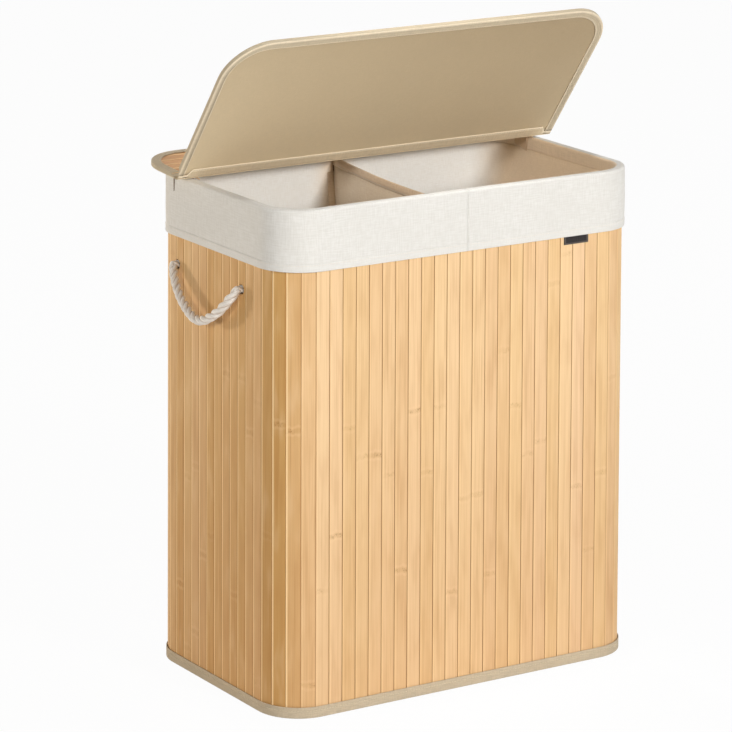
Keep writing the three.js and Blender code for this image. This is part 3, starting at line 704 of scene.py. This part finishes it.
def add_wall():
    stretches = {
        "front": (-10, 10), "right_front_corner": (11, 15), "right": (16, 27),
        "right_back_corner": (28, 31), "right_back": (32, 42),
    }
    for name, (first, last) in list(stretches.items())[1:]:
        stretches[name.replace("right", "left")] = (-last, -first)
    chance = random.Random(29)
    for name, (first, last) in stretches.items():
        shape = Shape()
        for i in range(first, last + 1):
            wall_slat(shape, i, chance)
        piece = shape.piece(f"wall_slats_{name}", WALL_BAMBOO, "body", f"slat_mat_{name}", smooth=False)
        if name in dict(SIDES):
            cut_holes(piece, dict(SIDES)[name])
    for name, side in SIDES:
        start = 0 if side > 0 else OUTLINE / 2
        distances = np.arange(start, start + OUTLINE / 2 + 0.1, OUTLINE / 136)
        grid, coords, _ = swept(distances, [(-BACKING_INSET, z) for z in (2, 300, 480, 500, 540, 600, 626)])
        backing = Shape().add(grid, coords).piece(f"wall_backing_{name}", BACKING, "body", thickness=1)
        cut_holes(backing, side)


# Tapes, cuff and liner

def around(step, start, end):
    """Evenly spaced distances from start to end, about a step apart."""
    count = max(2, round((end - start) / step))
    return np.linspace(start, end, count + 1)


def half_round(side, gap, step):
    """Distances along the right or left half of the outline."""
    start = 0 if side > 0 else OUTLINE / 2
    return around(step, start + gap, start + OUTLINE / 2 - gap)


def band(name, look, node, profile, distances, thickness, rough=0.0):
    """A cloth band swept round the wall, slightly uneven."""
    grid, coords, outs = swept(distances, profile)
    for row, out in zip(grid, outs):
        for point in row:
            point += out * rough * rumple(point, (18, 18, 30), 1.0)
    return Shape().add(grid, coords).piece(name, look, "body", node, thickness=thickness)


def add_tapes():
    foot = rounded([(-6, 0), (1.5, 0), (1.5, 8.4), (1.15, 9.2), (1.5, 10), (1.5, 14), (0.5, 14)], 0.9)
    back = OUTLINE / 2
    tape = band("base_binding", BASE_TAPE, "base_tape", foot, around(4, back, back + OUTLINE), 0.9)
    wall_stitches("base_binding_stitches", 9.2, 1.25, TAPE_THREAD, back, back + OUTLINE)
    top = WALL_TOP + TOUCH + TAPE
    over = rounded([(1.1, top - 18), (1.1, top), (-8.4, top), (-8.4, top - 18)], 1.2)
    tape = band("rim_binding", BASE_TAPE, "rim_tape", over, around(4, back, back + OUTLINE), 0.6)


CUFF_PROFILE = resampled(
    rounded(
        [(2.3, 562.5), (2.75, 571), (2.6, 600), (2.6, RIM_HEIGHT), (-9.9, RIM_HEIGHT), (-9.9, 612)], 3.2, 6
    ),
    4.5,
)


def add_cuff():
    """The turned-down cuff, whose right half overlaps the left one at the seams, and its hem."""
    seam = OUTLINE / 2
    for name, side in SIDES:
        distances = half_round(side, -0.3 if side > 0 else 0.1, 3.6)
        grid, coords, outs = swept(distances, CUFF_PROFILE)
        for row, marks, out, distance in zip(grid, coords, outs, distances):
            # the inside of the cuff on the sides takes the tan other colour: painted shade
            marks[-10 if out[0] > 0 else -7:, 2] = out[0] ** 2
            edge = min(distance % seam, seam - distance % seam)
            lift = 0.4 * max(0, 1 - max(0, edge - 3) / 1.2) if side > 0 else 0
            for j, point in enumerate(row):
                outside = 1 if point @ out > 0 and j < len(row) - 9 else 0.35
                uneven = 0.45 * rumple(point, (34, 34, 26), 2.0) + 0.25 * rumple(point, (11, 11, 40), 5.0)
                point += out * (uneven * (0.4 if j < 3 else 1) + lift) * outside
        cuff = Shape().add(grid, coords).piece(
            f"cuff_cloth_{name}", LINEN, "body", f"cuff_{name}", thickness=0.9
        )
        fold = rounded([(1.5, 563.5), (1.5, CUFF_FOOT), (2.95, CUFF_FOOT), (3.0, 563.6), (2.65, 565)], 0.8)
        hem = band(f"cuff_hem_band_{name}", HEM_LINEN, f"cuff_hem_{name}", fold, distances, 0.5, 0.15)
        start = 0 if side > 0 else OUTLINE / 2
        wall_stitches(f"cuff_hem_stitches_{name}", 562.9, 2.9, THREAD, start + 2, start + OUTLINE / 2 - 2)


def liner_profile(nx, ny):
    """The liner's wall, which stands in from the wall of the sides to clear the rope's knots."""
    bulge = KNOT_INSET * nx * nx + LINER_INSET * ny * ny
    line = [(-LINER_INSET, LINER_FOOT + 1.8), (-LINER_INSET, 430), (-bulge, 488), (-bulge, 542)]
    line = rounded(line + [(-10.05, 598), (-10.05, 613.5)], 26, 6)
    reach = travelled(line)
    places = np.linspace(0, reach[-1], 66)
    return np.stack([np.interp(places, reach, line[:, k]) for k in (0, 1)], axis=1)


def below_rim(z):
    """How free the liner is to move at a height, from 0 at the rim and the floor to 1."""
    return min(1, max(0, (RIM_HEIGHT - 18 - z) / 70)) * min(1, (z - LINER_FOOT) / 30)


def half_width(y, inset):
    """Half the room's width at an inset from the wall's face."""
    past = max(0, abs(y) - STRAIGHT_DEPTH / 2)
    return STRAIGHT_WIDTH / 2 + math.sqrt(max(0, (CORNER - inset) ** 2 - past**2))


def add_liner():
    """The liner's walls, pulled in at the divider's seams and creased in the corners, and its floors."""
    seam = OUTLINE / 2
    for name, side in SIDES:
        distances = half_round(side, 1.4, 4.5)
        grid, coords, outs = swept(distances, liner_profile)
        for row, marks, out, distance in zip(grid, coords, outs, distances):
            nx, ny, _ = out
            away = min(distance % seam, seam - distance % seam)
            edge = min(1, away / 25)
            pull = math.exp(-((away / SEAM_REACH) ** 2))
            # tan on the side walls and beside the divider's seams: painted shade
            marks[:, 2] = max(nx * nx, 0.8 * math.exp(-((away / 20) ** 2)))
            turning = 1 - abs(nx * nx - ny * ny)
            for point in row:
                z = point[2]
                folds = rumple(point, (26, 26, 210), 3.0) * 1.5 + rumple(point, (60, 60, 70), 8.0) * 1.2
                creases = rumple((distance, 0, z * 0.25), (9, 9, 30), 12.0) * 1.3 * turning
                creases += rumple((distance, 0, z * 0.3), (12, 12, 40), 21.0) * 2.4 * nx * nx
                point += out * ((folds + creases) * edge - SEAM_PULL * pull) * below_rim(z)
        wall = Shape().add(grid, coords).piece(
            f"liner_cloth_{name}", COTTON, "body", f"liner_wall_{name}", thickness=0.8
        )
        rows = []
        for share in np.linspace(-1, 1, 45):
            y = share * (RIM_DEPTH / 2 - LINER_INSET - 0.2)
            half = half_width(y, LINER_INSET)
            row = []
            for t in np.linspace(0, 1, 50):
                x = 1.5 + (half - 1.7) * t
                edge = min(1, (1 - abs(share)) * 8) * min(1, (1 - t) * 8, t * 12)
                lift = edge * (0.5 + 0.45 * rumple((x, y, 0), (60, 60, 1), 4.0 + side))
                row.append((x * side, y, LINER_FOOT + 0.8 + lift))
            rows.append(row[::side])
        rows = spread(rows)[::-1]
        floor = Shape().add(rows, rows[..., :2]).piece(
            f"liner_floor_cloth_{name}", COTTON, "body", f"liner_floor_{name}", thickness=0.8
        )


def divider_edge(share):
    """Height of the divider's sagging top, from -1 at its front end to 1 at its back end."""
    return RIM_HEIGHT - 15.5 + share * 3.5 - 6 * (1 - share * share)


def add_divider():
    half = RIM_DEPTH / 2 - LINER_INSET - 0.4
    rows, coords = [], []
    for y in np.linspace(-half, half, 73):
        top = divider_edge(y / (RIM_DEPTH / 2 - 10)) - 9
        edge = min(1, (half - abs(y)) / 30)
        row = []
        for z in np.linspace(LINER_FOOT + 0.4, top, 60):
            held = min(1, (z - LINER_FOOT) / 30) * min(1, (top - z + 4) / 40)
            sway = rumple((0, y, z), (1, 24, 190), 2.0) * 1.6 + rumple((0, y, z), (1, 60, 60), 6.0) * 1.2
            row.append((sway * edge * held, y, z))
        rows.append(row)
        coords.append([(y, p[2]) for p in row])
    panel = Shape().add(spread(rows), coords).piece(
        "divider_cloth", DIVIDER_COTTON, "body", "divider", thickness=1.2, offset=0
    )
    reach = RIM_DEPTH / 2 - 10.4
    section = rounded([(-1.5, -11), (-1.8, -3), (-1.6, 0), (1.6, 0), (1.8, -3), (1.5, -11)], 1.5)
    rows, coords, line, normals = [], [], [], []
    for y in np.linspace(-reach, reach, 90):
        top = divider_edge(y / reach) - 0.1
        sway = 0.4 * rumple((0, y, 0), (1, 30, 1), 3.0)
        rows.append([(x + sway, y, top + z) for x, z in section[::-1]])
        coords.append([(y, length) for length in travelled(section)])
        line.append((sway - 1.55, y, top - 9))
        normals.append((-1, 0, 0))
    hem = Shape().add(spread(rows), coords).piece(
        "divider_hem_band", DIVIDER_HEM, "body", "divider_hem", thickness=0.6
    )
    stitched("divider_stitches_left", spread(line), normals, THREAD, "body")
    other = spread([(-x, y, z) for x, y, z in line])
    stitched("divider_stitches_right", other, [(1, 0, 0)] * len(line), THREAD, "body")
    strips = Shape()
    for middle in (0, OUTLINE / 2):
        for start, end in ((0.8, 9.5), (-9.5, -0.8)):
            profile = [(-LINER_INSET - 1.7, z) for z in np.linspace(20, 425, 12)]
            profile += [(-LINER_INSET - 1.7, 488), (-LINER_INSET - 1.7, 545), (-10.7, 598)]
            distances = around(2, middle + start, middle + end)
            grid, coords, outs = swept(distances, profile)
            for row, out, distance in zip(grid, outs, distances):
                pull = math.exp(-(((distance - middle) / SEAM_REACH) ** 2))
                for point in row:
                    point -= out * SEAM_PULL * below_rim(point[2]) * pull
            strips.add(grid, coords)
    seams = strips.piece("divider_seam_strips", DIVIDER_HEM, "body", thickness=0.8, offset=0)


def add_base():
    """The cloth under the board, and materials for the board and the wire, which keep their solids."""
    rows = []
    inset = 6.6
    for share in np.linspace(1, -1, 61):
        y = share * (RIM_DEPTH / 2 - inset)
        rows.append([(t * half_width(y, inset), y, 0.15) for t in np.linspace(-1, 1, 80)])
    rows = spread(rows)[::-1]
    cloth = Shape().add(rows, rows[..., :2]).piece(
        "base_lining", BASE_CLOTH, "body", "base_cloth", thickness=1
    )
    for node, look in (("base_board", BOARD), ("rim_wire", WIRE)):
        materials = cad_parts[node].data.materials
        materials.clear()
        materials.append(look)


def add_tag():
    """A woven tag that hangs out under the cuff, with a paler woven border."""
    low, high, top, drop = 143, 179, 554.7, 10
    rows, coords = [], []
    for x in np.linspace(low, high, 25):
        face = -RIM_DEPTH / 2 - 0.75 - 0.35 * math.sin(math.pi * (x - low) / (high - low))
        heights = np.linspace(top - drop, top + 3, 12)
        rows.append([(x, face - 0.25 * math.sin(math.pi * (top - z) / drop), z) for z in heights])
        near = min(x - low, high - x)
        border = [0.8 < min(near, z - top + drop) < 1.8 for z in heights]
        coords.append([(x - low, z - top, float(pale)) for z, pale in zip(heights, border)])
    tag = Shape().add(spread(rows), coords).piece("side_tag_ribbon", TAG, "body", "side_tag", thickness=0.6)


# Lid

def flap_half(y, length):
    """Half the width of a flap's mat, at a distance from the fold line."""
    radius = LID_CORNER - TOUCH
    past = max(0, y - (length - TAPE - TOUCH - radius))
    return LID_WIDTH / 2 - TAPE - TOUCH - radius + math.sqrt(max(0, radius**2 - past**2))


def flap_edge(length, start):
    """Stations (x, y, nx, ny) round a flap's free edge, from the right end of the fold line."""
    half, end = LID_WIDTH / 2 - TAPE - LID_CORNER, length - TAPE - LID_CORNER
    right = [(half + LID_CORNER, y, 1, 0) for y in around(5, start, end)[:-1]]
    for angle in np.linspace(0, math.pi / 2, 18):
        nx, ny = math.cos(angle), math.sin(angle)
        right.append((half + LID_CORNER * nx, end + LID_CORNER * ny, nx, ny))
    across = [(x, end + LID_CORNER, 0, 1) for x in around(5, -half, half)[1:-1]][::-1]
    return right + across + [(-x, y, -nx, ny) for x, y, nx, ny in right[::-1]]


def flap_sheet(name, length, start, place, pitch):
    """A flap's lining, which takes on the slats above it a little and is darker towards its edge and one
    side:
    painted shade.
    """
    rows = []
    for share in np.linspace(0, 1, 46):
        y = start + (length - TAPE - TOUCH - start) * math.sin(math.pi / 2 * share)
        half = flap_half(y, length)
        row = []
        for t in np.linspace(-1, 1, 90):
            dip = 0.1 * math.cos(math.tau * (y - 14) / pitch)
            dip += 0.22 * rumple((t * half, y, 0), (90, 60, 1), 5.0)
            row.append((t * half, y, 0.3 + dip * min(1, (1 - abs(t)) * 20)))
        rows.append(row)
    rows = np.array(rows)
    marks = rows.copy()
    # darker towards the free edge and one side: painted shade
    marks[..., 2] = np.clip(rows[..., 1] / length * 0.7 + 0.15 - rows[..., 0] / LID_WIDTH * 0.6, 0, 1)
    cloth = Shape().add(rows, marks).piece(
        f"lid_lining_{name}", LID_CLOTH, f"lid_{name}", f"lid_cloth_{name}", place, thickness=0.7
    )


def binding(name, length, start, slat_start, place):
    """The tape folded over the flap's edge, with its sewn hem on each face."""
    stations = flap_edge(length, start)
    reach = travelled([station[:2] for station in stations])
    rows, coords, under, over = [], [], [], []
    for (x, y, nx, ny), distance in zip(stations, reach):
        high = 5.1 - 3.3 * (1 - min(1, max(0, (y - slat_start + 1.4) / 1.4)))
        hem = 10.2 - 2.6 * max(0, nx if name == "front" else -nx)
        line = rounded([
            (-hem + 0.2, 0), (-hem, -0.8), (-hem + 1.6, -1.15), (-hem + 2.9, -0.9), (-5.1, -0.9),
            (-4.3, -0.75), (-3.4, -1.0), (0.8, -1.1), (0.8, high), (-4, high), (-8.6, high - 0.1),
            (-9.9, high + 0.1), (-11.5, high - 0.1), (-11.3, high - 0.7),
        ], 1.3, 3)
        uneven = 0.18 * rumple((x, y, 0), (16, 16, 1), 7.0) * 0.7
        rows.append([(x + nx * o, y + ny * o, z + uneven * (1 if z > 2 else -1)) for o, z in line])
        # pale lines along the tape's folded edge and along its hem's inner edge: painted highlights
        pale = [float(z < 0 and (o > -1.2 or o < 1.6 - hem)) for o, z in line]
        coords.append([(distance, *mark) for mark in zip(travelled(line), pale)])
        under.append((x - (hem - 2.1) * nx, y - (hem - 2.1) * ny, -1.15))
        over.append((x - 9.4 * nx, y - 9.4 * ny, high))
    body, piece = f"lid_{name}", f"lid_binding_{name}"
    tape = Shape().add(rows, coords).piece(
        piece, BINDING, body, f"lid_edge_tape_{name}", place, thickness=0.6
    )
    for part, line, up in (("under", under, -1), ("over", over, 1)):
        line = [place @ Vector(p) for p in line]
        normals = [place.to_3x3() @ Vector((0, 0, up))] * len(line)
        stitched(f"{piece}_stitches_{part}", line, normals, TAPE_THREAD, body)


def fold_tape(name, width, start, shoulder, place):
    """The tape along the fold under a flap. The rear one also covers the roll on the fold line."""
    rolled = name == "rear"
    wide = LID_WIDTH / 2 - TAPE - 0.2
    stations = around(5.5, -wide, wide)
    rows, coords = [], []
    for x in stations:
        far = width if abs(x) < wide - 12 else shoulder
        section = [
            (start, -0.5), (start, -0.95), (start + 1.5, -1.1), (far - 4.2, -1.0), (far - 3.4, -1.05),
            (far - 1.2, -1.15), (far, -0.95), (far, -0.45),
        ]
        uneven = 0.12 * rumple((x, 0, 0), (14, 1, 1), 2.0)
        rows.append([(x, y + uneven * 2, z + uneven) for y, z in section])
        marks = zip(travelled(section), section)
        # a pale strip along the tape's far edge: painted highlight
        coords.append([(x, length, float(y > far - 4)) for length, (y, _) in marks])
    shape = Shape().add(rows[::-1], coords[::-1])
    if rolled:
        ring = [math.tau * k / 12 for k in range(12)]
        rows = [[(x, 1.05 * math.cos(a), 1.05 * math.sin(a)) for a in ring] for x in stations]
        marks = [[(x, k * 0.55) for k in range(13)] for x in stations]
        shape.add(rows, marks, tube=True, caps=True)
    body, piece = f"lid_{name}", f"lid_fold_band_{name}"
    shape.piece(piece, FOLD_TAPE, body, f"lid_fold_tape_{name}", place, thickness=0 if rolled else 0.5)
    ends = 6 if rolled else 3
    line = [place @ Vector((x, width - 1.9, -1.15)) for x in stations[ends:-ends]]
    down = place.to_3x3() @ Vector((0, 0, -1))
    stitched(f"{piece}_stitches", line, [down] * len(line), TAPE_THREAD, body)


def lid_slats(name, length, start, count, place):
    """A flap's slats, between its fold and its rounded edge. Returns their pitch."""
    end = length - TAPE - TOUCH
    pitch = (end + LID_SLAT_GAP - start) / count
    shape = Shape()
    chance = random.Random(count)
    section = slat_section(pitch - LID_SLAT_GAP, LID_SLAT_DEPTH)
    for i in range(count):
        near = start + i * pitch
        rows, coords = [], []
        for t in np.linspace(-1, 1, 31):
            row, marks = [], []
            for across, depth, edge in section:
                x = t * flap_half(min(near + across, end - 0.01), length)
                row.append((x, near + across, LID_FACE + depth))
                marks.append((across + depth, x + 290, edge))
            rows.append(row)
            coords.append(marks + [(0, marks[0][1], 2)])
        shape.add(rows, coords, tube=True, caps=True, **slat_vectors(90 + i, chance))
    nodes = [f"lid_slat_{name}_{i + 1:02d}" for i in range(count)]
    shape.piece(f"lid_slats_{name}", LID_BAMBOO, f"lid_{name}", nodes, place, smooth=False)
    return pitch


def add_lid():
    fold = Matrix.Translation((0, FOLD_Y, FOLD_Z))
    front, rear = (fold @ Matrix.Rotation(math.radians(a), 4, "X") for a in (-FRONT_OPEN, REAR_OPEN))
    front = front @ Matrix.Rotation(math.pi, 4, "Z")
    for name, place, length, cloth, tape, slat, count, width, start in (
        ("front", front, FRONT_LENGTH, 4, 6, 15, 12, 15, 1.35),
        ("rear", rear, REAR_LENGTH, 3, 5, 12.5, 5, 12, 0),
    ):
        pitch = lid_slats(name, length, slat, count, place)
        flap_sheet(name, length, cloth, place, pitch)
        binding(name, length, tape, slat, place)
        fold_tape(name, width, start, tape - TOUCH, place)


def add_slit_shadow(name, side):
    """A short dark brown line down the cuff beside a strap, made as a row of thread: painted shadow of a
    slit.
    """
    rows, coords = [], []
    for t in np.linspace(0, 1, 14):
        z, wide = 626.5 - 15.5 * t, 1.0 - 0.55 * t
        x = side * (RIM_WIDTH / 2 + 3.0 + 0.25 * math.sin(t * 40))
        ring = [math.tau * k / 8 for k in range(8)]
        rows.append([(x + 0.5 * math.cos(a), 97 + wide * math.sin(a), z) for a in ring])
        coords.append([(k * 0.3, z) for k in range(9)])
    shadow_line = Shape().add(spread(rows), coords, tube=True, caps=True)
    shadow_line.piece(f"strap_slit_shadow_{name}", SLIT_SHADOW_THREAD, "body")


def add_straps():
    """Cloth straps inside the rim, with a low tongue that runs forward to under the fold."""
    top = FOLD_Z - 1.3
    middle = OUTLINE / 4 + FOLD_Y
    for name, side in SIDES:
        shape = Shape()
        for start, end, foot in ((-4, 9.7, 630.3), (9.7, 38, 611)):
            distances = around(2.5, middle + start, middle + end)
            rows, coords = [], []
            for distance in distances:
                x, y, nx, ny = wall_point(distance)
                low = foot if foot > 620 else foot + 5 * (distance - distances[0]) / 28.3
                heights = np.linspace(low, top, 7)
                line = [(x - nx * (10.3 + 0.3 * math.sin(z / 5)), y - ny * 10.3, z) for z in heights]
                rows.append(line)
                coords.append([(distance, z) for _, _, z in line])
            grid = spread(rows)
            if side < 0:
                grid, coords = mirrored(grid), coords[::-1]
            shape.add(grid, coords)
        strap = shape.piece(f"strap_cloth_{name}", STRAP, "body", f"lid_strap_{name}", thickness=1.0)
        add_slit_shadow(name, side)


# Floor and light

def add_stage():
    bpy.ops.mesh.primitive_plane_add(size=40, location=(0, 0, -0.0005))
    floor = bpy.context.object
    floor.name = "floor"
    material = bpy.data.materials.new("pale floor")
    material.use_nodes = True
    tree = material.node_tree
    shader = next(n for n in tree.nodes if n.type == "BSDF_PRINCIPLED")
    shader.inputs["Base Color"].default_value = (0.86, 0.86, 0.86, 1)
    shader.inputs["Roughness"].default_value = 0.9
    white_for_sight(tree, shader.outputs[0], 0.965)
    floor.data.materials.append(material)


def white_for_sight(tree, lit, share):
    """Mixes white light into what the camera, gloss and glass see of a surface."""
    nodes = Nodes(tree)
    path = nodes.node("LightPath").node
    seen = path.outputs["Is Camera Ray"]
    for other in ("Is Glossy Ray", "Is Transmission Ray"):
        seen = nodes.math("MAXIMUM", seen, path.outputs[other])
    end = next(n for n in tree.nodes if n.type in ("OUTPUT_MATERIAL", "OUTPUT_WORLD"))
    white = nodes.node("Emission" if end.type == "OUTPUT_MATERIAL" else "Background", (1, 1, 1, 1), 1)
    nodes.feed(end.inputs["Surface"], nodes.node("MixShader", nodes.times(seen, share), lit, white))


def add_light(name, place, aim, size, watts, colour=(1, 1, 1), cone=None):
    """A round lamp, or a spotlight where a cone is given in degrees."""
    data = bpy.data.lights.new(name, "SPOT" if cone else "AREA")
    data.energy, data.color = watts, colour
    if cone:
        data.shadow_soft_size, data.spot_size, data.spot_blend = size / 2, math.radians(cone), 0.3
    else:
        data.shape, data.size = "DISK", size
    light = bpy.data.objects.new(name, data)
    light.location = place
    light.rotation_euler = (Vector(aim) - Vector(place)).to_track_quat("-Z", "Y").to_euler()
    bpy.context.scene.collection.objects.link(light)


def add_surroundings():
    world = bpy.data.worlds.new("studio")
    bpy.context.scene.world = world
    world.use_nodes = True
    tree = world.node_tree
    lit = next(n for n in tree.nodes if n.type == "BACKGROUND")
    lit.inputs["Color"].default_value = (1, 0.96, 0.91, 1)
    lit.inputs["Strength"].default_value = 0.14
    white_for_sight(tree, lit.outputs[0], 1)
    add_light("right light", (3.9, 0.7, 1.9), (0, 0, 0.45), 1.2, 24)
    add_light("wide light", (-3.7, -1.2, 1.6), (0, 0, 0.45), 0.8, 43, (1, 0.98, 0.95))
    add_light("front light", (0.6, -3.9, 1.81), (0, 0, 0.45), 0.7, 111)
    add_light("back light", (-1.8, 3.4, 0.45), (-0.25, 0, 0.5), 0.28, 50, (1, 0.86, 0.68))
    add_light("top light", (0.4, 2.6, 3.4), (0, 0.05, 0.65), 0.3, 330, cone=11)
    add_light("bin light", (0, -0.06, 3.2), (0, -0.06, 0.3), 0.3, 160, cone=11)
    bpy.context.scene.view_settings.view_transform = "Standard"


for add in (
    add_camera, add_handles, add_wall, add_tapes, add_cuff, add_liner, add_divider, add_base, add_tag,
    add_lid, add_straps, add_stage, add_surroundings,
):
    add()
